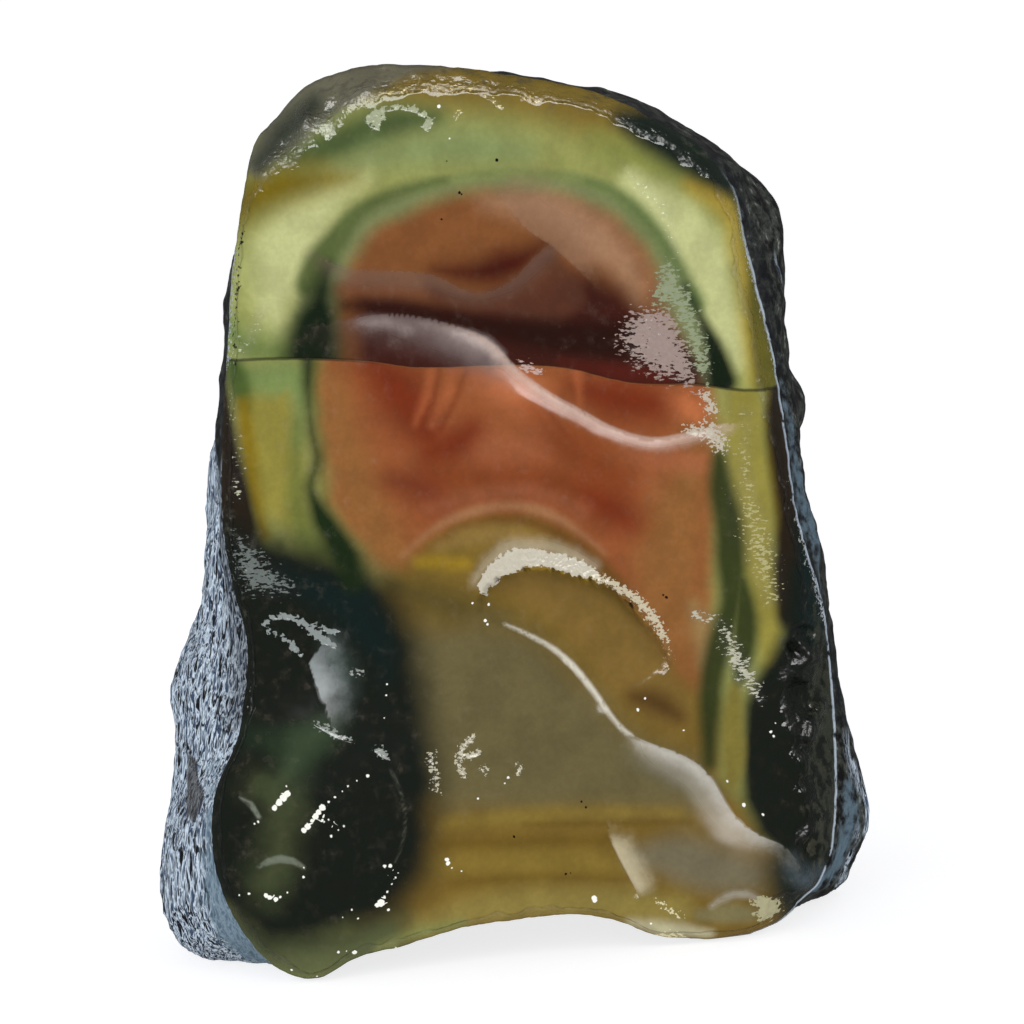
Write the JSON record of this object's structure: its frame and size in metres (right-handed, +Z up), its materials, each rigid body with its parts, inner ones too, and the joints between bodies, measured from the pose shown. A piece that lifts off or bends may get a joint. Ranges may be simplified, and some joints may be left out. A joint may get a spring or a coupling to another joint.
{
  "type": "raw jasper nodule",
  "caption": "Raw jasper nodule broken open at the front: glossy ledged conchoidal face banded green, ochre and red brown, in a rough grey rind, standing on its broken base.",
  "frame": {"origin": "on the floor, under the middle of the stone's bounding box", "axes": "+Z up, along the stone's length as it stands; +Y runs from the broken front into the stone; +X to the right as seen from the front"},
  "size_m": [0.0822, 0.0522, 0.0992],
  "materials": {
    "jasper": "glossy conchoidal break, banded dark green, yellow green, ochre and red brown, with a dull blue grey fibrous rind"
  },
  "bodies": {
    "root": {"jasper_nodule": "jasper"}
  },
  "joints": []
}
